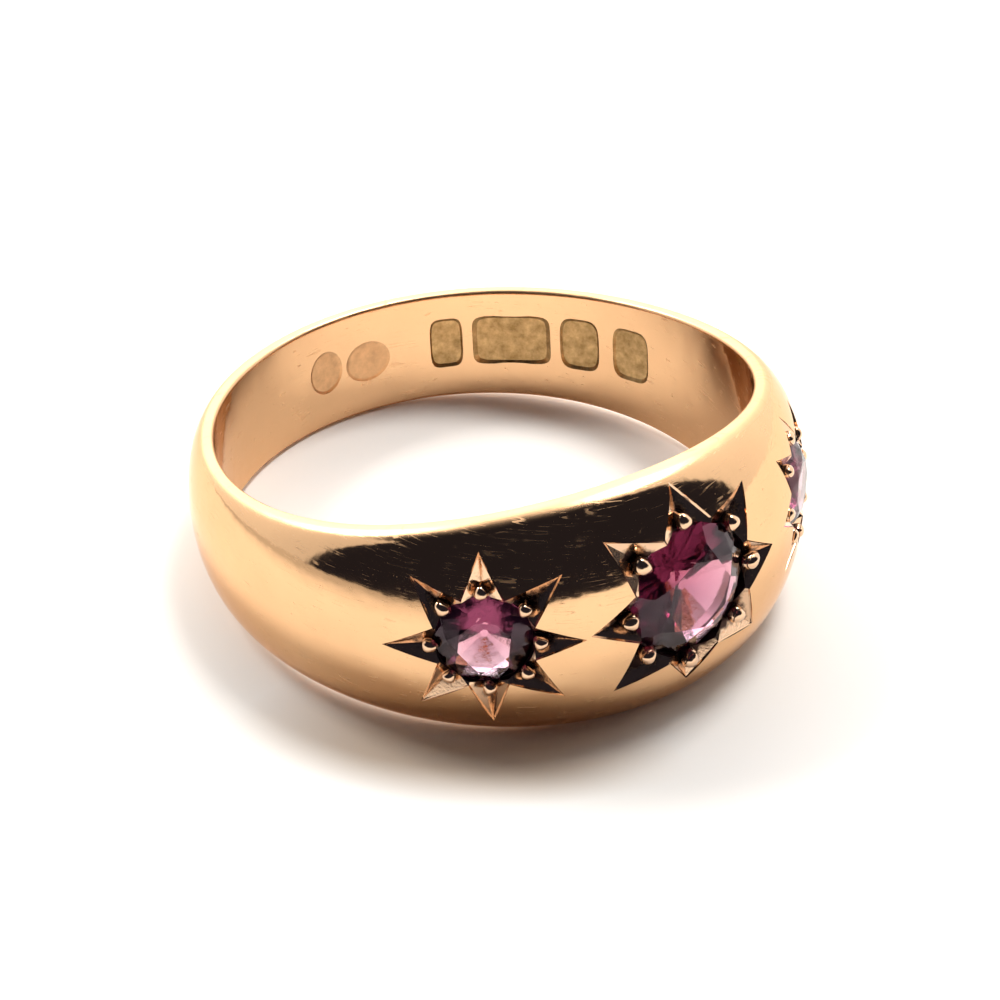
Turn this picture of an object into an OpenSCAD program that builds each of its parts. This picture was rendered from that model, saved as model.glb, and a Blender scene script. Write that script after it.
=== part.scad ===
// A tapered gypsy ring in rose gold, with three round stones set flush in engraved stars.
// The ring lies on its side, as it rests by itself, with the stones towards -Y.
// Ring frame: bore along Z, front at -Y. The angle th runs from the front (0) to +X (90).

/* [Band] */
// Diameter of the bore, where the finger goes
bore_d = 17.5; // [15:0.1:21]
// Width of the band at the front, between the rims
front_w = 8.2; // [7.8:0.1:9.5]
// Width of the band at the back
back_w = 4.0; // [3:0.1:6]
// Thickness of the band at the middle of the front
front_t = 2.05; // [2:0.05:2.6]
// Thickness of the band at the middle of the back
back_t = 0.95; // [0.7:0.05:1.5]
// Thickness left at the rims
rim_t = 0.3; // [0.2:0.05:0.4]
// How late the band's upper half widens towards the front
width_power = 2.7; // [2:0.1:4]
// The same for its lower half, where 1 would keep the rim that it rests on quite flat
lower_width_power = 1.4; // [1.1:0.1:2.7]
// How late the band thickens towards the front
thickness_power = 2.6; // [2:0.1:4]
// Flatness of the dome's crown, 2 is round
dome_crown = 2.2; // [2:0.1:2.6]
// Fullness of the dome's shoulders, higher is fuller
dome_shoulder = 1.7; // [1.5:0.1:2]

/* [Stones] */
// Girdle diameter of the centre stone
center_stone_d = 4.4; // [4:0.05:4.5]
// Girdle diameter of each side stone
side_stone_d = 3; // [2.7:0.05:3.1]
// Angle round the finger from the centre stone to a side stone
side_angle = 37.6; // [37:0.2:39]
// Turn of the whole row round the finger, away from the widest place
row_turn = 2.2; // [0:0.2:3]
// Height of the centre stone above the band's middle plane
row_lift = 0.3; // [0:0.02:0.4]
// Slope of the hand-cut row of stones, in degrees
row_slope = 2; // [0:0.5:3]
// Gap between a stone and the metal round it
stone_gap = 0.03; // [0.02:0.01:0.05]

/* [Stars] */
// Diameter of a grain that holds the centre stone
center_grain_d = 0.56; // [0.5:0.02:0.66]
// Diameter of a grain that holds a side stone
side_grain_d = 0.46; // [0.4:0.02:0.52]

/* [Stamps] */
// Depth of the plain stamped recesses inside the back
stamp_depth = 0.08; // [0.04:0.01:0.12]
// Height of the recesses along the finger
stamp_h = 1.9; // [1.4:0.1:2.2]

/* [Hidden] */

gold = "#d9a066";
garnet = "#8e2f5f";
bore_r = bore_d / 2;

// Steps of the swept skin, round the finger and across the dome
steps_round = 72;
steps_dome = 18;
// How far inside the bore's wall the skin's own inner face lies, before the bore is cut
skin_inset = 0.4;
// Sides of a round cut
round_fn = 96;
// Length by which a cut passes the face that it starts from
over = 1;

// Rays of each star, from the one along +X and anticlockwise as seen from outside.
// Columns: length from the stone's centre, lean from the even place in degrees
center_rays = [
    [3.65, 1], [3.80, -1], [3.55, 3], [4.05, 5],
    [3.80, 4], [4.00, -4], [3.25, -3], [3.70, 3]];
left_rays = [
    [3.10, -2], [3.30, -4], [2.90, 1], [3.10, 2],
    [3.25, 5], [3.25, 3], [3.20, 3], [3.25, 3]];
right_rays = [
    [3.00, 2], [2.90, -2], [2.50, 2], [2.85, 1],
    [2.45, 2], [2.90, -2], [2.90, -1], [2.90, 1]];

// A stone's proportions, as shares of its girdle radius
table_r_share = 0.56;
star_r_share = 0.76;
lower_r_share = 0.26;
crown_share = 0.26;
girdle_share = 0.06;
pavilion_share = 0.56;
// Its setting, in the same shares. Depths below the dome: the girdle's top, and where the
// rays' valleys and the ridges between them meet the stone
girdle_drop_share = 0.26;
valley_share = 0.36;
ridge_share = 0.16;
// Radii: the cusps of metal between the rays, and the open hole behind the stone
cusp_share = 1.1;
back_hole_share = 0.72;
// In shares of a grain's radius: its reach over the girdle, its centre's depth below the
// dome, and the radius of the post below it
grain_reach_share = 0.2;
grain_drop_share = 0.55;
grain_post_share = 0.8;

// Stamped recesses inside the back. Columns: angle round the finger, width along it,
// height above the middle plane, share of the full height, roundness from 0 to 1
stamps = [
    [184, 1.35, 0.1, 0.85, 1.00],
    [173, 1.70, 0.0, 0.80, 1.00],
    [154, 1.15, 0.1, 1.00, 0.45],
    [139, 2.75, 0.1, 1.00, 0.30],
    [123, 1.45, 0.1, 1.05, 0.50],
    [110, 1.45, 0.1, 1.05, 0.50]];
stamp_points = 32;

// The stones' places round the finger
left_th = row_turn - side_angle;
center_th = row_turn;
right_th = row_turn + side_angle;

// The ring's lean at rest, on the front's bore edge and the back's outer edge
rest_tilt = atan((front_w - back_w) / 2 / (2 * bore_r + rim_t));
rest_lift = front_w / 2 * cos(rest_tilt) - bore_r * sin(rest_tilt);
rest_shift = (front_t - back_t) / 2 * cos(rest_tilt);

// Share from 0 at the back to 1 at the front
function front_share(th) = (1 + cos(th)) / 2;
function half_width(th, z) =
    (back_w + (front_w - back_w)
        * pow(front_share(th), z < 0 ? lower_width_power : width_power)) / 2;
function thickness(th) = back_t + (front_t - back_t) * pow(front_share(th), thickness_power);
// Height of the dome from 0 at a rim to 1 at the middle, for s from -1 to 1
function dome(s) = pow(max(0, 1 - pow(abs(s), dome_crown)), 1 / dome_shoulder);
function skin_radius(th, z) =
    bore_r + rim_t + (thickness(th) - rim_t) * dome(min(1, abs(z) / half_width(th, z)));
function round_finger(r, th, z) = [r * sin(th), -r * cos(th), z];

// Height of the row of stones above the middle plane, and the dome's radius there
function row_height(th) = row_lift + (bore_r + front_t) * th * PI / 180 * tan(row_slope);
function apex(th) = skin_radius(th, row_height(th));

// The place on the dome at a length and direction from a stone, as seen from above it
function on_dome(th, length, direction) =
    let (turn = length * cos(direction) / apex(th) * 180 / PI,
        rise = length * sin(direction),
        r = skin_radius(th + turn, row_height(th) + rise))
    [r * sin(turn), rise, r * cos(turn) - apex(th)];

function ring_of(count, start, r, z) =
    [for (i = [0:count - 1]) let (a = start + 360 * i / count) [r * cos(a), r * sin(a), z]];

module at_rest() {
    translate([0, rest_shift, rest_lift]) rotate([-rest_tilt, 0, 0]) children();
}

// Puts children on the dome at a stone: +X round the finger, +Y along it, +Z outwards
module at_stone(th) {
    rotate([0, 0, th]) translate([0, -apex(th), row_height(th)]) rotate([90, 0, 0]) children();
}

// The band's skin, swept round the finger, with its inner face well inside the bore
module skin() {
    rows = steps_dome + 3;
    points = [for (i = [0:steps_round - 1])
        let (th = 360 * i / steps_round, low = half_width(th, -1), high = half_width(th, 1))
        for (j = [0:rows - 1])
            j > steps_dome
                ? round_finger(bore_r - skin_inset, th, j == rows - 2 ? high : -low)
                : let (rise = sin(-90 + 180 * j / steps_dome), z = rise * (rise < 0 ? low : high))
                    round_finger(skin_radius(th, z), th, z)];
    faces = [for (i = [0:steps_round - 1]) for (j = [0:rows - 1])
        let (i2 = (i + 1) % steps_round, j2 = (j + 1) % rows,
            a = i * rows + j, b = i2 * rows + j, c = i2 * rows + j2, d = i * rows + j2)
        for (face = [[a, c, b], [a, d, c]]) face];
    polyhedron(points, faces, convexity = 6);
}

// The star cut round a stone: straight walls above its outline, and below it two facets for
// each ray, which meet in the ray's valley and run down to the stone's girdle
module star_cut(th, rg, rays) {
    n = len(rays);
    inner_r = rg - stone_gap;
    directions = [for (i = [0:n - 1]) 360 * i / n + rays[i][1]];
    tips = [for (i = [0:n - 1]) on_dome(th, rays[i][0], directions[i])];
    cusps = [for (i = [0:n - 1])
        let (next = directions[(i + 1) % n] + (i == n - 1 ? 360 : 0))
        on_dome(th, cusp_share * rg, (directions[i] + next) / 2)];
    outline = [for (i = [0:n - 1]) for (p = [tips[i], cusps[i]]) p];
    top = [for (p = outline) [p[0], p[1], over]];
    foot = [for (i = [0:2 * n - 1])
        let (p = outline[i], share = i % 2 == 0 ? valley_share : ridge_share)
        [inner_r * p[0] / norm([p[0], p[1]]), inner_r * p[1] / norm([p[0], p[1]]), -share * rg]];
    count = 2 * n;
    faces = concat(
        [for (i = [0:count - 1]) [(i + 1) % count, i, 3 * count + 1]],
        [for (i = [0:count - 1]) let (j = (i + 1) % count)
            for (face = [[i, j, count + j], [i, count + j, count + i]]) face],
        [for (i = [0:count - 1]) let (j = (i + 1) % count)
            for (face = i % 2 == 0
                ? [[count + i, count + j, 2 * count + i], [count + j, 2 * count + j, 2 * count + i]]
                : [[count + i, count + j, 2 * count + j], [count + i, 2 * count + j, 2 * count + i]])
            face],
        [for (i = [0:count - 1]) [2 * count + i, 2 * count + (i + 1) % count, 3 * count]]);
    middle = [[0, 0, -ridge_share * rg], [0, 0, over]];
    at_stone(th) polyhedron(concat(top, outline, foot, middle), faces, convexity = 6);
}

// The drilled hole that a stone drops into, down to its girdle
module well(th, rg) {
    at_stone(th) translate([0, 0, -girdle_drop_share * rg])
        cylinder(r = rg + stone_gap, h = over + rg, $fn = round_fn);
}

// Grains raised at the foot of each ray, each on a short post of metal
module grains(th, rg, grain_r, rays) {
    ring_r = rg + grain_r * (1 - grain_reach_share);
    at_stone(th) for (i = [0:len(rays) - 1])
        translate(on_dome(th, ring_r, 360 * i / len(rays) + rays[i][1])
                - [0, 0, grain_drop_share * grain_r]) {
            sphere(r = grain_r, $fn = 32);
            translate([0, 0, -valley_share * rg])
                cylinder(r = grain_post_share * grain_r, h = valley_share * rg, $fn = 32);
        }
}

// The room that a stone takes with its gap, and the open hole behind it
module stone_room(th, rg) {
    top = -girdle_drop_share * rg;
    bottom = top - girdle_share * rg;
    table = top + crown_share * rg;
    star_z = top + star_height(rg);
    hole_r = back_hole_share * rg;
    hole_z = bottom - pavilion_share * (rg - hole_r);
    at_stone(th) {
        rotate_extrude($fn = round_fn)
            polygon([
                [0, table + stone_gap],
                [table_r_share * rg + stone_gap, table + stone_gap],
                [star_r_share * rg + stone_gap, star_z + stone_gap],
                [rg + stone_gap, top + stone_gap],
                [rg + stone_gap, bottom - stone_gap],
                [hole_r, hole_z - 1.5 * stone_gap],
                [0, hole_z - 1.5 * stone_gap]]);
        translate([0, 0, -front_t - over])
            cylinder(r = hole_r, h = front_t + over + hole_z, $fn = round_fn);
    }
}

// A plain stamped recess, its floor parallel to the bore
module stamp(th, width, z, height_share, roundness) {
    outline = [for (i = [0:stamp_points - 1]) let (a = 360 * (i + 0.5) / stamp_points)
        [width / 2 * sign(cos(a)) * pow(abs(cos(a)), roundness),
            stamp_h * height_share / 2 * sign(sin(a)) * pow(abs(sin(a)), roundness)]];
    rotate([0, 0, th]) translate([0, over - bore_r, z]) rotate([90, 0, 0])
        linear_extrude(height = 2 * over) polygon(outline);
}

module band_metal() {
    difference() {
        skin();
        star_cut(left_th, side_stone_d / 2, left_rays);
        star_cut(center_th, center_stone_d / 2, center_rays);
        star_cut(right_th, side_stone_d / 2, right_rays);
        well(left_th, side_stone_d / 2);
        well(center_th, center_stone_d / 2);
        well(right_th, side_stone_d / 2);
    }
    grains(left_th, side_stone_d / 2, side_grain_d / 2, left_rays);
    grains(center_th, center_stone_d / 2, center_grain_d / 2, center_rays);
    grains(right_th, side_stone_d / 2, side_grain_d / 2, right_rays);
}

module band() {
    color(gold) at_rest() difference() {
        band_metal();
        cylinder(r = bore_r, h = 2 * front_w, center = true, $fn = 180);
        stone_room(left_th, side_stone_d / 2);
        stone_room(center_th, center_stone_d / 2);
        stone_room(right_th, side_stone_d / 2);
        intersection() {
            cylinder(r = bore_r + stamp_depth, h = 2 * front_w, center = true, $fn = 180);
            for (s = stamps) stamp(s[0], s[1], s[2], s[3], s[4]);
        }
    }
}

// Height of the crown's eight star points, which keeps each kite facet flat
function star_height(rg) =
    crown_share * rg * (1 - star_r_share * cos(22.5)) / (1 - table_r_share);

// A round stone with a table, 32 crown facets and 24 below, and a point at the back
module stone(th, rg) {
    top = -girdle_drop_share * rg;
    bottom = top - girdle_share * rg;
    lower_z = bottom - pavilion_share * rg * (1 - lower_r_share * cos(22.5));
    points = concat(
        ring_of(8, 0, table_r_share * rg, top + crown_share * rg),
        ring_of(8, 22.5, star_r_share * rg, top + star_height(rg)),
        ring_of(16, 0, rg, top),
        ring_of(16, 0, rg, bottom),
        ring_of(8, 22.5, lower_r_share * rg, lower_z),
        [[0, 0, bottom - pavilion_share * rg]]);
    star = 8;
    upper = 16;
    lower = 32;
    keel = 48;
    culet = 56;
    faces = concat(
        [[for (i = [7:-1:0]) i]],
        [for (i = [0:7]) [i, (i + 1) % 8, star + i]],
        [for (i = [0:7]) [i, star + i, upper + 2 * i, star + (i + 7) % 8]],
        [for (i = [0:7]) [star + i, upper + 2 * i + 1, upper + 2 * i]],
        [for (i = [0:7]) [star + i, upper + (2 * i + 2) % 16, upper + 2 * i + 1]],
        [for (i = [0:15])
            [upper + i, upper + (i + 1) % 16, lower + (i + 1) % 16, lower + i]],
        [for (i = [0:7]) [lower + 2 * i, lower + 2 * i + 1, keel + i]],
        [for (i = [0:7]) [lower + 2 * i + 1, lower + (2 * i + 2) % 16, keel + i]],
        [for (i = [0:7]) [culet, keel + (i + 7) % 8, lower + 2 * i, keel + i]]);
    color(garnet) at_rest() at_stone(th) polyhedron(points, faces, convexity = 2);
}

module stone_left() { stone(left_th, side_stone_d / 2); }
module stone_center() { stone(center_th, center_stone_d / 2); }
module stone_right() { stone(right_th, side_stone_d / 2); }

band();
stone_left();
stone_center();
stone_right();
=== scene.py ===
import math
import random
import bmesh
import bpy
import numpy as np
from mathutils import Matrix, Vector


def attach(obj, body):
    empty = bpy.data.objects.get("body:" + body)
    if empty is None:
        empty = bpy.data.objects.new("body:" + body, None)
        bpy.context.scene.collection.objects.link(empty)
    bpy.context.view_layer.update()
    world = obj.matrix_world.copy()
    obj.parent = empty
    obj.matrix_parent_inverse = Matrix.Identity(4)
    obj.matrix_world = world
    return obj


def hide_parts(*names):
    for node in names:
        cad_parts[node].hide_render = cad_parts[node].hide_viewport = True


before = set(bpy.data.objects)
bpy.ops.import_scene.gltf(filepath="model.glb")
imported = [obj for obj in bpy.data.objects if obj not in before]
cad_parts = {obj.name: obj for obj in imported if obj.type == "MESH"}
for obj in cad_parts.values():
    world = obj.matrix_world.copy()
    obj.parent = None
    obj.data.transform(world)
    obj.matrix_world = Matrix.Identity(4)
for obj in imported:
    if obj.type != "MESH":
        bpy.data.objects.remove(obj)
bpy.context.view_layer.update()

# A flush set gypsy ring, in the same frame as its solids. Lengths are in millimetres, and each
# piece's mesh is moved to the frame, in metres, once it is made. Places round the ring are in
# degrees, from the front towards the ring's right side.
MM = 0.001

# The band's sizes, as in the solids
BORE_R = 8.75
FRONT_W, BACK_W = 8.2, 4.0
FRONT_T, BACK_T, RIM_T = 2.05, 0.95, 0.3
WIDTH_POWER, LOWER_POWER, THICK_POWER = 2.7, 1.4, 2.6
CROWN, SHOULDER = 2.2, 1.7

# The row of stones, as in the solids, with most sizes as shares of a stone's radius
CENTER_R, SIDE_R = 2.2, 1.5
SIDE_ANGLE, ROW_TURN = 37.6, 2.2
ROW_LIFT, ROW_SLOPE = 0.3, 2
GAP = 0.03
GIRDLE_DROP, GIRDLE, CROWN_H = 0.26, 0.06, 0.26
TABLE_R, STAR_R = 0.56, 0.76
VALLEY, RIDGE, CUSP, HOLE = 0.36, 0.16, 1.1, 0.72

# A star's rays: the length of each, and the degrees that it leans from an even spread
CENTER_RAYS = [(3.65, 1), (3.80, -1), (3.55, 3), (4.05, 5),
               (3.80, 4), (4.00, -4), (3.25, -3), (3.70, 3)]
LEFT_RAYS = [(3.10, -2), (3.30, -4), (2.90, 1), (3.10, 2),
             (3.25, 5), (3.25, 3), (3.20, 3), (3.25, 3)]
RIGHT_RAYS = [(3.00, 2), (2.90, -2), (2.50, 2), (2.85, 1),
              (2.45, 2), (2.90, -2), (2.90, -1), (2.90, 1)]

# The stars: side, place round the ring, radius of the stone, radius of the grains, rays
STARS = [("left", ROW_TURN - SIDE_ANGLE, SIDE_R, 0.23, LEFT_RAYS),
         ("center", ROW_TURN, CENTER_R, 0.28, CENTER_RAYS),
         ("right", ROW_TURN + SIDE_ANGLE, SIDE_R, 0.23, RIGHT_RAYS)]

# The stamped recesses: place round the ring, width, height along the bore, share of the full
# size along it, roundness of the outline, depth
STAMP_H, OVAL = 1.9, 1.0
STAMPS = [(184, 1.35, 0.1, 0.85, OVAL, 0.03), (173, 1.70, 0.0, 0.80, OVAL, 0.02),
          (154, 1.15, 0.1, 1.0, 0.45, 0.07), (139, 2.75, 0.1, 1.0, 0.30, 0.07),
          (123, 1.45, 0.1, 1.05, 0.5, 0.07), (110, 1.45, 0.1, 1.05, 0.5, 0.07)]
STAMP_POINTS, STAMP_LIFT, STAMP_FLOOR = 40, 0.6, (0.88, 0.6, 0.3)

# The fine skin: steps round the ring, rows over the dome, over a bore edge's round and in half the
# bore, that round's radius, and the width of the wear at a rim
SKIN_STEPS, DOME_ROWS, ROUND_ROWS, BORE_HALF = 480, 65, 7, 12
RIM_ROUND, RIM_WEAR = 0.14, 0.3

# The step over which a slope is taken, and how far off a rim a point may be and still lie on it
NORMAL_STEP, NEAR = 1e-4, 1e-3

# The cutters: sides of a turned one, its top over a stone's table, the end of the open hole, and
# the play under a stone's cone
LATHE_SIDES, CUTTER_TOP, HOLE_END, CONE_GAP = 96, 1.0, -3.2, 1.5 * GAP

# The grains, as shares of a grain's radius: how far out and how deep the ball lies and how thick
# its post is, then the steps round it, the steps that a whole ball would have down it and those
# before the post, and the most that wear draws it out and makes it lumpy
GRAIN_OUT, GRAIN_SINK, GRAIN_POST = 0.8, 0.55, 0.8
GRAIN_ACROSS, GRAIN_DOWN, GRAIN_ROWS = 24, 14, 10
GRAIN_SWELL, GRAIN_LUMP, GRAIN_SHARP = 0.3, 0.09, 50

# The visual stones: slope of the pavilion, share of the flat at the back, half a facet's step in
# degrees, and the degrees that each stone is turned in its seat
SLOPE, KEEL, HALF_FACET = 0.66, 0.09, 22.5
STONE_TURNS = (15, 8, 0)

# The ring as it lies: on its lower rim, so the bore's axis leans
TILT = math.atan((FRONT_W - BACK_W) / 2 / (2 * BORE_R + RIM_T))
REST = (Matrix.Translation((0, (FRONT_T - BACK_T) / 2 * math.cos(TILT),
                            FRONT_W / 2 * math.cos(TILT) - BORE_R * math.sin(TILT)))
        @ Matrix.Rotation(-TILT, 4, "X"))
BORE_CENTRE = Vector(REST.translation) * MM


# The band's surface

def half_width(th, z):
    """Half of the band's width at an angle in radians, on the side of the middle that z is on."""
    share = (1 + np.cos(th)) / 2
    power = np.where(np.asarray(z) < 0, LOWER_POWER, WIDTH_POWER)
    return (BACK_W + (FRONT_W - BACK_W) * share ** power) / 2


def thickness(th):
    """The band's thickness in the middle of its width."""
    share = (1 + np.cos(th)) / 2
    return BACK_T + (FRONT_T - BACK_T) * share ** THICK_POWER


def dome(s):
    """The dome's share of its full rise at a share of the half width."""
    return np.maximum(0, 1 - np.abs(s) ** CROWN) ** (1 / SHOULDER)


def skin_radius(th, z):
    """The dome's radius at an angle in radians and a height along the bore."""
    s = np.minimum(1, np.abs(z) / half_width(th, z))
    return BORE_R + RIM_T + (thickness(th) - RIM_T) * dome(s)


def row_height(deg):
    """The height along the bore of the row of stones."""
    return ROW_LIFT + (BORE_R + FRONT_T) * math.radians(deg) * math.tan(math.radians(ROW_SLOPE))


def apex(deg):
    """The dome's radius over the middle of a stone."""
    return float(skin_radius(math.radians(deg), row_height(deg)))


def stone_frame(deg):
    """Matrix from a stone's own place (+X round the finger, +Y along it, +Z out) to the ring."""
    return (Matrix.Rotation(math.radians(deg), 4, "Z")
            @ Matrix.Translation((0, -apex(deg), row_height(deg)))
            @ Matrix.Rotation(math.pi / 2, 4, "X"))


def on_dome(deg, length, heading):
    """The place on the dome at a length and heading from a stone, in the stone's own place."""
    turn = length * math.cos(heading) / apex(deg)
    rise = length * math.sin(heading)
    r = float(skin_radius(math.radians(deg) + turn, row_height(deg) + rise))
    return Vector((r * math.sin(turn), rise, r * math.cos(turn) - apex(deg)))


# Meshes

def make(name, points, faces, material, matrix=None):
    """A mesh object from points in millimetres, moved by the matrix."""
    mesh = bpy.data.meshes.new(name)
    mesh.from_pydata([tuple(p) for p in points], [], faces)
    if matrix is not None:
        mesh.transform(matrix)
    mesh.materials.append(material)
    return show(name, mesh)


def show(name, mesh):
    """Puts a mesh into the scene, as an object."""
    obj = bpy.data.objects.new(name, mesh)
    bpy.context.scene.collection.objects.link(obj)
    return obj


def skin_mesh(material):
    """The band without its cuts: dome, rims and bore, with the bore's edges rounded."""
    th = np.linspace(0, 2 * math.pi, SKIN_STEPS, endpoint=False)
    low, high = half_width(th, -1), half_width(th, 1)
    profile = []
    for a in np.linspace(-90, 90, DOME_ROWS):
        z = (low if a < 0 else high) * math.sin(math.radians(a))
        profile.append((skin_radius(th, z), z))
    for side, h in ((1, high), (-1, low)):
        edge = [(np.full(SKIN_STEPS, BORE_R + RIM_T - k * (RIM_T - RIM_ROUND) / 3), side * h)
                for k in (1, 2)]
        edge += [(np.full(SKIN_STEPS, BORE_R + RIM_ROUND - RIM_ROUND * math.sin(a)),
                  side * (h - RIM_ROUND * (1 - math.cos(a))))
                 for a in np.linspace(0, math.pi / 2, ROUND_ROWS)]
        if side == 1:
            profile += edge
            for k in range(1, 2 * BORE_HALF):
                reach = (high if k < BORE_HALF else low) - RIM_ROUND
                profile.append((np.full(SKIN_STEPS, BORE_R), reach * (1 - k / BORE_HALF)))
        else:
            profile += edge[::-1]
    rows = len(profile)
    points = np.empty((SKIN_STEPS, rows, 3))
    for j, (r, z) in enumerate(profile):
        points[:, j, 0] = r * np.sin(th)
        points[:, j, 1] = -r * np.cos(th)
        points[:, j, 2] = z
    i, j = np.meshgrid(np.arange(SKIN_STEPS), np.arange(rows), indexing="ij")
    i2, j2 = (i + 1) % SKIN_STEPS, (j + 1) % rows
    faces = np.stack([i * rows + j, i2 * rows + j, i2 * rows + j2, i * rows + j2], -1)
    return make("band_shell", points.reshape(-1, 3), faces.reshape(-1, 4).tolist(), material)


def star_cutter(deg, rg, rays, material):
    """The room of a star: rays on the dome, with valleys and ridges that go down to the stone."""
    n = len(rays)
    headings = [math.radians(360 * i / n + lean) for i, (_, lean) in enumerate(rays)]
    outline = []
    for i in range(n):
        after = headings[(i + 1) % n] + (2 * math.pi if i == n - 1 else 0)
        outline.append(on_dome(deg, rays[i][0], headings[i]))
        outline.append(on_dome(deg, CUSP * rg, (headings[i] + after) / 2))
    count = 2 * n
    top = [Vector((p.x, p.y, CUTTER_TOP)) for p in outline]
    foot = []
    for i, p in enumerate(outline):
        a = math.atan2(p.y, p.x)
        foot.append(Vector(((rg - GAP) * math.cos(a), (rg - GAP) * math.sin(a),
                            -(VALLEY if i % 2 == 0 else RIDGE) * rg)))
    points = top + outline + foot + [Vector((0, 0, -RIDGE * rg)), Vector((0, 0, CUTTER_TOP))]
    faces = []
    for i in range(count):
        j = (i + 1) % count
        faces.append((i, j, 3 * count + 1))
        faces += [(j, i, count + j), (count + j, i, count + i)]
        if i % 2 == 0:
            faces += [(count + j, count + i, 2 * count + i),
                      (2 * count + j, count + j, 2 * count + i)]
        else:
            faces += [(count + j, count + i, 2 * count + j),
                      (2 * count + j, count + i, 2 * count + i)]
        faces.append((2 * count + j, 2 * count + i, 3 * count))
    return make("star", points, faces, material, stone_frame(deg))


def lathe(name, profile, material, matrix):
    """A turned solid round +Z from (radius, height) pairs, the first and last on the axis."""
    points, faces, rings = [], [], []
    for r, z in profile:
        if r == 0:
            rings.append([len(points)] * LATHE_SIDES)
            points.append((0, 0, z))
        else:
            rings.append(list(range(len(points), len(points) + LATHE_SIDES)))
            points += circle(LATHE_SIDES, 0, r, z)
    for a, b in zip(rings, rings[1:]):
        for k in range(LATHE_SIDES):
            m = (k + 1) % LATHE_SIDES
            face = [a[k], a[m], b[m], b[k]]
            faces.append([v for q, v in enumerate(face) if v not in face[:q]])
    return make(name, points, faces, material, matrix)


def circle(count, start, r, z):
    """Points on a circle round +Z, from a start in degrees."""
    return [(r * math.cos(math.radians(start) + 2 * math.pi * i / count),
             r * math.sin(math.radians(start) + 2 * math.pi * i / count), z)
            for i in range(count)]


def star_height(rg):
    """The height of the crown's star points over the girdle."""
    return CROWN_H * rg * (1 - STAR_R * math.cos(math.pi / 8)) / (1 - TABLE_R)


def well_profile(rg):
    """The drilled well, the seat's cone and the open hole behind, from the top down."""
    bottom = -(GIRDLE_DROP + GIRDLE) * rg - GAP
    hole = HOLE * rg
    hole_z = -(GIRDLE_DROP + GIRDLE) * rg - SLOPE * (rg - hole) - CONE_GAP
    return [(0, CUTTER_TOP), (rg + GAP, CUTTER_TOP), (rg + GAP, bottom), (hole, hole_z),
            (hole, HOLE_END), (0, HOLE_END)]


def crown_profile(rg):
    """The room over a stone's crown, which keeps the grains off it."""
    top = -GIRDLE_DROP * rg
    return [(0, top + CROWN_H * rg + GAP), (TABLE_R * rg + GAP, top + CROWN_H * rg + GAP),
            (STAR_R * rg + GAP, top + star_height(rg) + GAP), (rg + GAP, top + GAP),
            (rg + GAP, top - GIRDLE * rg - GAP), (0, top - GIRDLE * rg - GAP)]


def stamp_cutter(deg, width, z, share, roundness, depth, material):
    """A plain stamped recess with a floor parallel to the bore and slightly sloped walls."""
    rings = [(BORE_R - STAMP_LIFT, 1.0), (BORE_R, 1.0)]
    rings += [(BORE_R + depth, scale) for scale in STAMP_FLOOR]
    points, faces = [], []
    for r, scale in rings:
        for k in range(STAMP_POINTS):
            a = 2 * math.pi * (k + 0.5) / STAMP_POINTS
            x = math.copysign(abs(math.cos(a)) ** roundness, math.cos(a)) * width / 2 * scale
            y = (math.copysign(abs(math.sin(a)) ** roundness, math.sin(a))
                 * STAMP_H * share / 2 * scale)
            turn = math.radians(deg) + x / BORE_R
            points.append((r * math.sin(turn), -r * math.cos(turn), z + y))
    for q in range(len(rings) - 1):
        for k in range(STAMP_POINTS):
            m = (k + 1) % STAMP_POINTS
            here, there = q * STAMP_POINTS, (q + 1) * STAMP_POINTS
            faces.append((here + k, there + k, there + m, here + m))
    turn = math.radians(deg)
    for r in (BORE_R - STAMP_LIFT, BORE_R + depth):
        points.append((r * math.sin(turn), -r * math.cos(turn), z))
    last = (len(rings) - 1) * STAMP_POINTS
    for k in range(STAMP_POINTS):
        m = (k + 1) % STAMP_POINTS
        faces.append((k, m, len(rings) * STAMP_POINTS))
        faces.append((last + m, last + k, len(rings) * STAMP_POINTS + 1))
    return make("stamp", points, faces, material)


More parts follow.
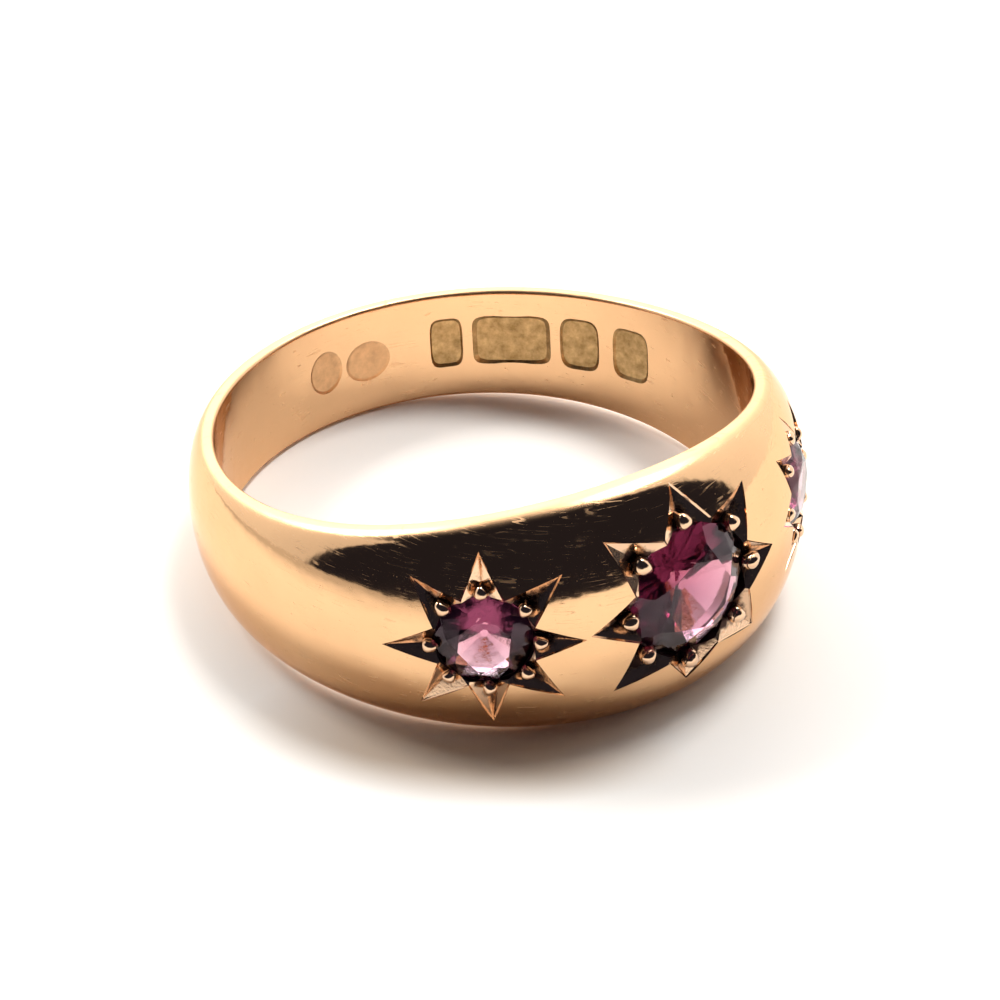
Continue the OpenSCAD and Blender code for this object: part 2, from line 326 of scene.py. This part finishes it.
def grain_mesh(deg, rg, grain_r, rays, material):
    """A star's grains: worn balls raised at the foot of each ray, each on its own post."""
    points, faces = [], []
    chance = random.Random(round(deg * 10))
    profile = [(grain_r * math.sin(math.pi * k / GRAIN_DOWN),
                grain_r * math.cos(math.pi * k / GRAIN_DOWN)) for k in range(1, GRAIN_ROWS)]
    profile.append((GRAIN_POST * grain_r, -VALLEY * rg))
    for i, (_, lean) in enumerate(rays):
        heading = math.radians(360 * i / len(rays) + lean)
        c = on_dome(deg, rg + GRAIN_OUT * grain_r, heading)
        c = c - Vector((0, 0, GRAIN_SINK * grain_r))
        base = len(points)
        points.append((c.x, c.y, c.z + grain_r))
        for r, z in profile:
            points += [(c.x + r * math.cos(2 * math.pi * k / GRAIN_ACROSS),
                        c.y + r * math.sin(2 * math.pi * k / GRAIN_ACROSS), c.z + z)
                       for k in range(GRAIN_ACROSS)]
        points.append((c.x, c.y, c.z - VALLEY * rg))
        for k in range(GRAIN_ACROSS):
            m = (k + 1) % GRAIN_ACROSS
            faces.append((base, base + 1 + k, base + 1 + m))
            for q in range(len(profile) - 1):
                a, b = base + 1 + q * GRAIN_ACROSS, base + 1 + (q + 1) * GRAIN_ACROSS
                faces.append((a + k, b + k, b + m, a + m))
            last = base + 1 + (len(profile) - 1) * GRAIN_ACROSS
            faces.append((last + m, last + k, base + 1 + len(profile) * GRAIN_ACROSS))
        out = Vector((math.cos(heading), math.sin(heading), 0))
        swell = chance.uniform(0.0, GRAIN_SWELL)
        for k in range(base, len(points)):
            away = Vector(points[k]) - c
            wave = 3 * math.atan2(away.y, away.x) + 6 * swell / GRAIN_SWELL + i
            lump = 1 + GRAIN_LUMP * math.sin(wave)
            away.x, away.y = away.x * lump, away.y * lump
            points[k] = tuple(c + away + out * away.dot(out) * swell)
    return make("grains", points, faces, material, stone_frame(deg))


def stone_mesh(name, deg, rg, turn, material):
    """A round stone: table, 32 crown facets, 16 lower facets, 8 mains and a flat at the back."""
    top = -GIRDLE_DROP * rg
    bottom = top - GIRDLE * rg
    back = bottom - SLOPE * rg * (1 - KEEL * math.cos(math.pi / 8))
    # Points 0 to 7 lie round the table, 8 to 15 are the crown's star points, 16 to 31 and 32 to 47
    # the girdle's two edges, and 48 to 55 lie round the flat at the back
    points = (circle(8, 0, TABLE_R * rg, top + CROWN_H * rg)
              + circle(8, HALF_FACET, STAR_R * rg, top + star_height(rg))
              + circle(16, 0, rg, top) + circle(16, 0, rg, bottom)
              + circle(8, HALF_FACET, KEEL * rg, back))
    faces = [list(range(8)), list(range(55, 47, -1))]
    for i in range(8):
        a, b, c = i, (i + 1) % 8, (i + 7) % 8
        faces += [[b, a, 8 + i], [8 + i, a, 8 + c, 16 + 2 * i],
                  [16 + 2 * i, 16 + 2 * i + 1, 8 + i],
                  [16 + 2 * i + 1, 16 + (2 * i + 2) % 16, 8 + i]]
        faces += [[32 + 2 * i + 1, 32 + 2 * i, 48 + i],
                  [32 + (2 * i + 2) % 16, 32 + 2 * i + 1, 48 + i],
                  [48 + c, 48 + i, 32 + 2 * i]]
    for i in range(16):
        j = (i + 1) % 16
        faces.append([16 + j, 16 + i, 32 + i, 32 + j])
    matrix = stone_frame(deg) @ Matrix.Rotation(math.radians(turn), 4, "Z")
    return make(name, points, faces, material, matrix)


def join(objects, name):
    """One object from several whose meshes don't touch."""
    points, faces, marks, materials = [], [], [], []
    for o in objects:
        base = len(points)
        points += [tuple(v.co) for v in o.data.vertices]
        material = o.data.materials[0]
        if material not in materials:
            materials.append(material)
        for p in o.data.polygons:
            faces.append([base + v for v in p.vertices])
            marks.append(materials.index(material))
        bpy.data.objects.remove(o)
    mesh = bpy.data.meshes.new(name)
    mesh.from_pydata(points, [], faces)
    for material in materials:
        mesh.materials.append(material)
    mesh.polygons.foreach_set("material_index", marks)
    return show(name, mesh)


def fix_normals(obj):
    """Turns a closed mesh's faces outwards."""
    work = bmesh.new()
    work.from_mesh(obj.data)
    bmesh.ops.recalc_face_normals(work, faces=work.faces)
    work.to_mesh(obj.data)
    work.free()


def cut(obj, cutter):
    """Takes the cutter's room out of the object, by an exact boolean, and drops the cutter."""
    fix_normals(cutter)
    modifier = obj.modifiers.new("cut", "BOOLEAN")
    modifier.operation, modifier.solver, modifier.object = "DIFFERENCE", "EXACT", cutter
    modifier.material_mode = "TRANSFER"
    graph = bpy.context.evaluated_depsgraph_get()
    mesh = bpy.data.meshes.new_from_object(obj.evaluated_get(graph), depsgraph=graph)
    obj.modifiers.clear()
    obj.data = mesh
    bpy.data.objects.remove(cutter)


def read(items, key, size=1, kind=float):
    """One property of all of a mesh's points, faces or corners, as an array."""
    values = np.empty(len(items) * size, kind)
    items.foreach_get(key, values)
    return values if size == 1 else values.reshape(-1, size)


def skin_normals(co):
    """Outward normals of the uncut band at points on it, from its own formulas."""
    x, y, z = co[:, 0], co[:, 1], co[:, 2]
    r, th = np.hypot(x, y), np.arctan2(x, -y)
    h = half_width(th, z)
    e = NORMAL_STEP
    radial = np.stack([np.sin(th), -np.cos(th), np.zeros_like(th)], -1)
    around = np.stack([np.cos(th), np.sin(th), np.zeros_like(th)], -1)
    up = np.array([0.0, 0.0, 1.0])
    slope_th = (skin_radius(th + e, z) - skin_radius(th - e, z)) / (2 * e) / r
    zc = np.clip(z, -h + 2 * e, h - 2 * e)
    slope_z = (skin_radius(th, zc + e) - skin_radius(th, zc - e)) / (2 * e)
    normal = radial - slope_th[:, None] * around - slope_z[:, None] * up
    side = np.sign(z)[:, None]
    rim_slope = (half_width(th + e, z) - half_width(th - e, z)) / (2 * e) / r
    rim = side * up - rim_slope[:, None] * around
    on_rim = np.abs(z) > h - NEAR
    normal[on_rim] = rim[on_rim]
    depth = np.abs(z) - (h - RIM_ROUND)
    inner = r < BORE_R + RIM_ROUND + NEAR
    bend = (radial * (r - BORE_R - RIM_ROUND)[:, None]
            + rim * np.maximum(depth, 0)[:, None])
    bent = inner & (depth > 0)
    normal[bent] = bend[bent]
    wall = inner & (depth <= 0)
    normal[wall] = -radial[wall]
    return normal / np.linalg.norm(normal, axis=1)[:, None]


def shade(obj, skin_slot):
    """Exact normals on the uncut skin, flat ones in the cuts."""
    mesh = obj.data
    mesh.polygons.foreach_set("use_smooth", [True] * len(mesh.polygons))
    smooth = skin_normals(read(mesh.vertices, "co", 3))
    corners = read(mesh.loops, "vertex_index", kind=int)
    flat = read(mesh.polygons, "normal", 3)
    totals = read(mesh.polygons, "loop_total", kind=int)
    of_corner = np.repeat(np.arange(len(totals)), totals)
    normals = flat[of_corner]
    on_skin = read(mesh.polygons, "material_index", kind=int)[of_corner] == skin_slot
    normals[on_skin] = smooth[corners[on_skin]]
    mesh.normals_split_custom_set(normals.tolist())


def mark_depth(obj):
    """Keeps each point's depth below the uncut dome, in millimetres, and how near a rim it is."""
    mesh = obj.data
    x, y, z = read(mesh.vertices, "co", 3).T
    th = np.arctan2(x, -y)
    depth = skin_radius(th, z) - np.hypot(x, y)
    rim = np.clip(1 - (half_width(th, z) - np.abs(z)) / RIM_WEAR, 0, 1)
    for name, values in (("depth", depth), ("rim", rim)):
        layer = mesh.attributes.new(name, "FLOAT", "POINT")
        layer.data.foreach_set("value", values.astype(np.float32))


# Nodes

def direction(azimuth, elevation):
    """A unit vector from angles in degrees, with azimuth 0 to the front and 90 to the right."""
    a, e = math.radians(azimuth), math.radians(elevation)
    return Vector((math.sin(a) * math.cos(e), -math.cos(a) * math.cos(e), math.sin(e)))


class Nodes:
    """A node tree, with short ways to add and link its nodes."""

    def __init__(self, tree):
        self.tree = tree
        self.tree.nodes.clear()

    def add(self, kind, **values):
        node = self.tree.nodes.new(kind)
        for key, value in values.items():
            setattr(node, key, value)
        return node

    def link(self, a, b):
        self.tree.links.new(a, b)

    def feed(self, socket, value):
        """Links an output to a socket, or sets the socket to a number or colour."""
        if isinstance(value, bpy.types.NodeSocket):
            self.link(value, socket)
        else:
            socket.default_value = value

    def math(self, kind, *values):
        node = self.add("ShaderNodeMath", operation=kind)
        for socket, value in zip(node.inputs, values):
            self.feed(socket, value)
        return node.outputs[0]

    def dot(self, vector, axis):
        node = self.add("ShaderNodeVectorMath", operation="DOT_PRODUCT")
        self.link(vector, node.inputs[0])
        node.inputs[1].default_value = axis
        return node.outputs["Value"]


class Material(Nodes):
    """A material's nodes, round one Principled shader."""

    def __init__(self, name):
        self.material = bpy.data.materials.new(name)
        self.material.use_nodes = True
        super().__init__(self.material.node_tree)
        self.out = self.add("ShaderNodeOutputMaterial")
        self.shader = self.add("ShaderNodeBsdfPrincipled")
        self.link(self.shader.outputs[0], self.out.inputs["Surface"])

    def set(self, name, value):
        """Gives one of the shader's inputs its value or link."""
        self.feed(self.shader.inputs[name], value)

    def place(self, scale=(1, 1, 1), turn=(0, 0, 0)):
        """Object coordinates in millimetres, turned and stretched."""
        coord = self.add("ShaderNodeTexCoord")
        mapping = self.add("ShaderNodeMapping")
        mapping.inputs["Scale"].default_value = [s / MM for s in scale]
        mapping.inputs["Rotation"].default_value = turn
        self.link(coord.outputs["Object"], mapping.inputs["Vector"])
        return mapping.outputs["Vector"]

    def noise(self, vector, scale, detail=3.0, rough=0.55):
        """Noise between 0 and 1, with about scale waves in a unit of the vector."""
        node = self.add("ShaderNodeTexNoise")
        node.inputs["Scale"].default_value = scale
        node.inputs["Detail"].default_value = detail
        node.inputs["Roughness"].default_value = rough
        self.link(vector, node.inputs["Vector"])
        return node.outputs["Fac"]

    def attribute(self, name):
        """A value that mark_depth keeps at each point of the mesh."""
        return self.add("ShaderNodeAttribute", attribute_name=name).outputs["Fac"]

    def ramp(self, value, stops):
        """A ramp over (position, colour or grey) stops."""
        node = self.add("ShaderNodeValToRGB")
        ramp = node.color_ramp
        while len(ramp.elements) < len(stops):
            ramp.elements.new(0.5)
        for element, (position, color) in zip(ramp.elements, stops):
            element.position = position
            element.color = (*color, 1) if isinstance(color, tuple) else (color,) * 3 + (1,)
        self.link(value, node.inputs["Fac"])
        return node.outputs["Color"]

    def bump(self, height, strength, distance, normal=None):
        """A bump whose distance is in millimetres."""
        node = self.add("ShaderNodeBump")
        node.inputs["Strength"].default_value = strength
        node.inputs["Distance"].default_value = distance * MM
        self.link(height, node.inputs["Height"])
        if normal is not None:
            self.link(normal, node.inputs["Normal"])
        return node.outputs["Normal"]


# Materials

GOLD_LOW, GOLD_HIGH = (0.75, 0.455, 0.243), (0.81, 0.495, 0.265)
GOLD_EDGE = (0.97, 0.87, 0.77, 1)
# The darkest tones here are grime together with painted shade, deep in the cuts and round the
# stones.
CUT_GOLD, CUT_GRIME_AND_SHADE = (0.77, 0.51, 0.33), (0.06, 0.032, 0.026)
SEAT_GRIME_AND_SHADE, SEAT_GOLD = (0.04, 0.022, 0.022), (0.45, 0.36, 0.35)
STAMPED_LOW, STAMPED_HIGH = (0.26, 0.165, 0.065), (0.60, 0.40, 0.185)
WORN_LOW, WORN_HIGH = (0.58, 0.35, 0.18), (0.78, 0.48, 0.25)

# The sets of hairlines: stretch and turn of the noise, and how thin its lines are
HAIRLINES = [((0.16, 0.16, 4.5), (0.12, 0.12, 0.0), 0.012),
             ((0.25, 0.25, 7.0), (-0.2, -0.15, 0.3), 0.016),
             ((0.3, 0.3, 6.0), (0.5, 0.6, 0.0), 0.012)]

# The roughness that a hairline or pit adds, and the noise level over which there is a pit
MARK_ROUGH, PIT_LEVEL = 0.24, 0.74

GEM_COLOR, GEM_EDGE, GEM_IOR = (1.0, 0.93, 0.96, 1), (0.52, 0.39, 0.45, 1), 1.76
GEM_DEPTH_COLOR, GEM_DENSITY = (0.66, 0.29, 0.46, 1), 1250

# The paper: its tones, the azimuth and the span over which a painted shadow darkens it past the
# left of the ring, and the azimuth and the span over which a painted warm glow of light bounced
# off the gold tints the shadow under the ring's front
WHITE, PAPER, SHADOWED_PAPER = (1.0, 1.0, 1.0), (0.93, 0.906, 0.87), (0.45, 0.44, 0.42)
# A painted warm glow of light bounced off the gold, for the shadow under the ring's front.
GOLD_BOUNCE_TINT = (0.82, 0.7, 0.59)
SHADOW_AZ, SHADOW_SPAN, BOUNCE_AZ, BOUNCE_SPAN = -75, 60.0, -42, 20.0


def scratches(n, scale, turn, thin):
    """Thin broken lines: stretched noise cut at its middle value, and masked by a broad noise."""
    lines = n.noise(n.place(scale, turn), 1.0, 0.0)
    line = n.math("LESS_THAN", n.math("ABSOLUTE", n.math("SUBTRACT", lines, 0.5)), thin)
    mask = n.noise(n.place(turn=turn), 1.7, 2.0)
    return n.math("MULTIPLY", line, n.ramp(mask, [(0.5, 0.0), (0.64, 1.0)]))


def polished_gold():
    """Worn polished gold: soft waves, hairlines and pits, and duller rims."""
    n = Material("rose_gold_polished")
    here = n.place()
    n.set("Metallic", 1.0)
    n.set("Specular Tint", GOLD_EDGE)
    n.set("Base Color", n.ramp(n.noise(here, 0.35, 4.0), [(0.3, GOLD_LOW), (0.7, GOLD_HIGH)]))
    wear = n.noise(here, 1.3, 5.0, 0.65)
    rim = n.ramp(n.attribute("rim"), [(0.3, 0.0), (0.8, 0.26)])
    marks = n.math("GREATER_THAN", n.noise(here, 12.0, 2.0), PIT_LEVEL)
    for scale, turn, thin in HAIRLINES:
        marks = n.math("MAXIMUM", marks, scratches(n, scale, turn, thin))
    rough = n.math("ADD", n.math("MULTIPLY_ADD", wear, 0.07, 0.045), rim)
    n.set("Roughness", n.math("MULTIPLY_ADD", marks, MARK_ROUGH, rough))
    fine = n.noise(here, 9.0, 4.0, 0.6)
    broad = n.noise(here, 0.9, 2.0, 0.5)
    n.set("Normal", n.bump(fine, 0.1, 0.005, n.bump(broad, 0.35, 0.05)))
    return n.material


def engraved_gold():
    """Bright-cut facets, with dark grime and painted shade that thicken towards the stone, and a
    burr on top.
    """
    n = Material("rose_gold_engraved")
    here = n.place()
    n.set("Metallic", 1.0)
    patch = n.noise(here, 2.4, 4.0, 0.6)
    # Grime and painted shade: darker deeper in the cuts, towards the stone, and in random patches.
    grime_and_shade = n.math("ADD", n.math("MULTIPLY", n.attribute("depth"), 1.3),
                   n.math("MULTIPLY_ADD", patch, 0.9, -0.45))
    n.set("Base Color", n.ramp(grime_and_shade, [(0.17, CUT_GOLD), (0.36, CUT_GRIME_AND_SHADE)]))
    n.set("Roughness", n.ramp(grime_and_shade, [(0.2, 0.12), (0.45, 0.45)]))
    burr = n.ramp(n.attribute("depth"), [(0.0, 1.0), (0.035, 0.0)])
    n.set("Normal", n.bump(burr, 0.7, 0.04, n.bump(n.noise(here, 12.0), 0.25, 0.012)))
    return n.material


def seat_gold():
    """The dull metal round a stone, dark with grime and painted shade near the dome and lighter
    towards the open back.
    """
    n = Material("rose_gold_seat")
    n.set("Metallic", 1.0)
    grime_and_shade = n.noise(n.place(), 2.2, 3.0, 0.6)
    # Grime and painted shade under the stone's girdle, fading deeper towards the open back.
    deep = n.math("ADD", n.attribute("depth"), n.math("MULTIPLY_ADD", grime_and_shade, 0.3, -0.15))
    n.set("Base Color", n.ramp(deep, [(0.6, SEAT_GRIME_AND_SHADE), (0.9, SEAT_GOLD)]))
    n.set("Roughness", 0.45)
    return n.material


def stamped_gold(name, low, high):
    """The uneven, grimy floor of a stamped recess."""
    n = Material(name)
    here = n.place()
    n.set("Metallic", 1.0)
    n.set("Base Color", n.ramp(n.noise(here, 2.6, 4.0, 0.65), [(0.3, low), (0.7, high)]))
    n.set("Roughness", 0.4)
    n.set("Normal", n.bump(n.noise(here, 3.0), 0.4, 0.04))
    return n.material


def garnet():
    """A clear stone that colours the light by how far it goes inside, with a few flaws."""
    n = Material("pink_stone")
    here = n.place()
    n.set("Base Color", GEM_COLOR)
    n.set("Transmission Weight", 1.0)
    n.set("IOR", GEM_IOR)
    n.set("Specular Tint", GEM_EDGE)
    n.set("Roughness", n.ramp(n.noise(here, 5.0, 4.0, 0.6), [(0.45, 0.0), (0.75, 0.08)]))
    flaws = n.bump(n.noise(here, 2.6, 5.0, 0.6), 0.35, 0.03)
    n.set("Normal", n.bump(n.noise(here, 14.0), 0.1, 0.003, flaws))
    volume = n.add("ShaderNodeVolumeAbsorption")
    volume.inputs["Color"].default_value = GEM_DEPTH_COLOR
    volume.inputs["Density"].default_value = GEM_DENSITY
    n.link(volume.outputs[0], n.out.inputs["Volume"])
    return n.material


def paper():
    """Pale paper, with a painted shadow far to the left, and a painted warm glow of light bounced
    off the gold in the shadow under the ring's front.
    """
    n = Material("white_paper")
    here = n.place()
    # A painted shadow darkens the paper far past the left of the ring.
    into_shadow = n.math("MULTIPLY_ADD", n.noise(here, 0.05, 4.0), 4.0, n.dot(here, direction(SHADOW_AZ, 0)))
    shadowed_tone = n.ramp(n.math("DIVIDE", into_shadow, SHADOW_SPAN), [(0.36, PAPER), (0.75, SHADOWED_PAPER)])
    # A painted warm glow of light bounced off the gold, in the shadow under the ring's front.
    length = n.add("ShaderNodeVectorMath", operation="LENGTH")
    n.link(here, length.inputs[0])
    reach = length.outputs["Value"]
    near = n.ramp(n.math("DIVIDE", reach, BOUNCE_SPAN),
                  [(0.44, 0.0), (0.5, 1.0), (0.55, 1.0), (0.63, 0.0)])
    ahead = n.ramp(n.math("DIVIDE", n.dot(here, direction(BOUNCE_AZ, 0)), reach),
                   [(0.8, 0.0), (0.97, 1.0)])
    painted_bounce_glow = n.ramp(n.math("MULTIPLY", near, ahead), [(0.0, WHITE), (1.0, GOLD_BOUNCE_TINT)])
    tinted = n.add("ShaderNodeVectorMath", operation="MULTIPLY")
    n.link(shadowed_tone, tinted.inputs[0])
    n.link(painted_bounce_glow, tinted.inputs[1])
    n.set("Base Color", tinted.outputs["Vector"])
    n.set("Roughness", 0.9)
    n.set("Specular IOR Level", 0.2)
    n.set("Normal", n.bump(n.noise(here, 3.0), 0.1, 0.02))
    return n.material


# The band and its grains

gold, engraved, seat = polished_gold(), engraved_gold(), seat_gold()
stamped = stamped_gold("rose_gold_stamped", STAMPED_LOW, STAMPED_HIGH)
worn = stamped_gold("rose_gold_worn_stamp", WORN_LOW, WORN_HIGH)

band = skin_mesh(gold)
fix_normals(band)
for _, deg, rg, _, rays in STARS:
    cut(band, star_cutter(deg, rg, rays, engraved))
cut(band, join([lathe("well", well_profile(rg), seat, stone_frame(deg))
                for _, deg, rg, _, _ in STARS], "wells"))
cut(band, join([stamp_cutter(deg, width, z, share, roundness, depth,
                             worn if roundness == OVAL else stamped)
                for deg, width, z, share, roundness, depth in STAMPS], "stamps"))
shade(band, list(band.data.materials).index(gold))
mark_depth(band)

grains = []
for side, deg, rg, grain_r, rays in STARS:
    g = grain_mesh(deg, rg, grain_r, rays, engraved)
    fix_normals(g)
    cut(g, lathe("crown", crown_profile(rg), seat, stone_frame(deg)))
    g.name = "grains_" + side
    g.data.polygons.foreach_set("use_smooth", [True] * len(g.data.polygons))
    g.data.set_sharp_from_angle(angle=math.radians(GRAIN_SHARP))
    mark_depth(g)
    grains.append(g)

to_metres = Matrix.Scale(MM, 4) @ REST
for piece in [band] + grains:
    piece.data.transform(to_metres)
    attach(piece, "root")
    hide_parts("band")
band.name = "band_polished"

# The stones

gem = garnet()
for (side, deg, rg, _, _), turn in zip(STARS, STONE_TURNS):
    obj = stone_mesh("gem_" + side, deg, rg, turn, gem)
    fix_normals(obj)
    obj.data.transform(to_metres)
    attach(obj, "root")
    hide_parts("stone_" + side)

# The paper: the azimuth that its front edge faces, and in metres how far in front of the ring
# that is, how far the others are, and how far below the ring it lies

PAPER_AZ, PAPER_FRONT, PAPER_REACH, PAPER_DROP = -43, 0.048, 1.5, 0.00002
ahead, along = direction(PAPER_AZ, 0), direction(PAPER_AZ + 90, 0)
corners = ((PAPER_FRONT, -PAPER_REACH), (PAPER_FRONT, PAPER_REACH),
           (-PAPER_REACH, PAPER_REACH), (-PAPER_REACH, -PAPER_REACH))
floor = make("floor", [ahead * a + along * b for a, b in corners], [(0, 1, 2, 3)], paper())
floor.location.z = -PAPER_DROP

# The light: a dark room behind the camera, a pale one behind the ring, and two lamps high up in
# that. Each line holds an azimuth and elevation, the two cosines of the angle from there between
# which a level changes smoothly, and the levels at them.

FRONT = (-24, 0, 0.105, 0.075, 0.0, 1.0)
CEILING = (-110, 75, 0.89, 0.87, 0.0, 1.0)
SIDE_GLOW = (143, 10, -0.4, 1.0, 0.86, 1.47)
BACK_GLOW = (158, 30, 0.82, 0.93, 0.0, 1.6)
RIGHT_LAMP = (106, 66, 0.976, 0.99, 0.0, 20.0)
LEFT_LAMP = (-156, 48, 0.98, 0.992, 0.0, 21.0)
PALE_ROOM, DARK_ROOM, DARK_LEVEL = (1.0, 0.99, 0.97, 1), (0.6, 0.62, 1.0, 1), 0.034

world = bpy.data.worlds.new("studio")
bpy.context.scene.world = world
world.use_nodes = True
sky = Nodes(world.node_tree)
outward = sky.add("ShaderNodeTexCoord").outputs["Generated"]


def level(azimuth, elevation, *numbers):
    """A brightness that changes smoothly with the angle from a direction."""
    node = sky.add("ShaderNodeMapRange", interpolation_type="SMOOTHSTEP")
    for key, number in zip(("From Min", "From Max", "To Min", "To Max"), numbers):
        node.inputs[key].default_value = number
    sky.link(sky.dot(outward, direction(azimuth, elevation)), node.inputs["Value"])
    return node.outputs["Result"]


def room(color, strength):
    """Light from all round, in one colour."""
    node = sky.add("ShaderNodeBackground")
    node.inputs["Color"].default_value = color
    sky.feed(node.inputs["Strength"], strength)
    return node.outputs[0]


bright = sky.math("MINIMUM", level(*FRONT), level(*CEILING))
glow = sky.math("ADD", sky.math("ADD", level(*SIDE_GLOW), level(*BACK_GLOW)),
                sky.math("ADD", level(*RIGHT_LAMP), level(*LEFT_LAMP)))
both = sky.add("ShaderNodeAddShader")
sky.link(room(PALE_ROOM, sky.math("MULTIPLY", bright, glow)), both.inputs[0])
sky.link(room(DARK_ROOM, DARK_LEVEL), both.inputs[1])
sky.link(both.outputs[0], sky.add("ShaderNodeOutputWorld").inputs["Surface"])

# The camera, which looks at the bore's centre. FOCAL is in sensor widths, and CLIP in metres.

AZ, EL, ROLL, DISTANCE = -36.112, 35.963, 1.635, 109.458
SENSOR, FOCAL, SHIFT_X, SHIFT_Y = 36, 3.34368, 0.01391, -0.03064
CLIP = (0.005, 10)
back = direction(AZ, EL)
level_right = Vector((math.cos(math.radians(AZ)), math.sin(math.radians(AZ)), 0))
level_up = back.cross(level_right)
roll = math.radians(ROLL)
right = level_right * math.cos(roll) + level_up * math.sin(roll)
up = level_up * math.cos(roll) - level_right * math.sin(roll)
camera = bpy.data.objects.new("camera", bpy.data.cameras.new("camera"))
camera.matrix_world = (Matrix.Translation(BORE_CENTRE + back * DISTANCE * MM)
                       @ Matrix((right, up, back)).transposed().to_4x4())
camera.data.sensor_width, camera.data.lens = SENSOR, SENSOR * FOCAL
camera.data.shift_x, camera.data.shift_y = SHIFT_X, SHIFT_Y
camera.data.clip_start, camera.data.clip_end = CLIP
bpy.context.scene.collection.objects.link(camera)
bpy.context.scene.camera = camera
bpy.context.scene.view_settings.view_transform = "Standard"
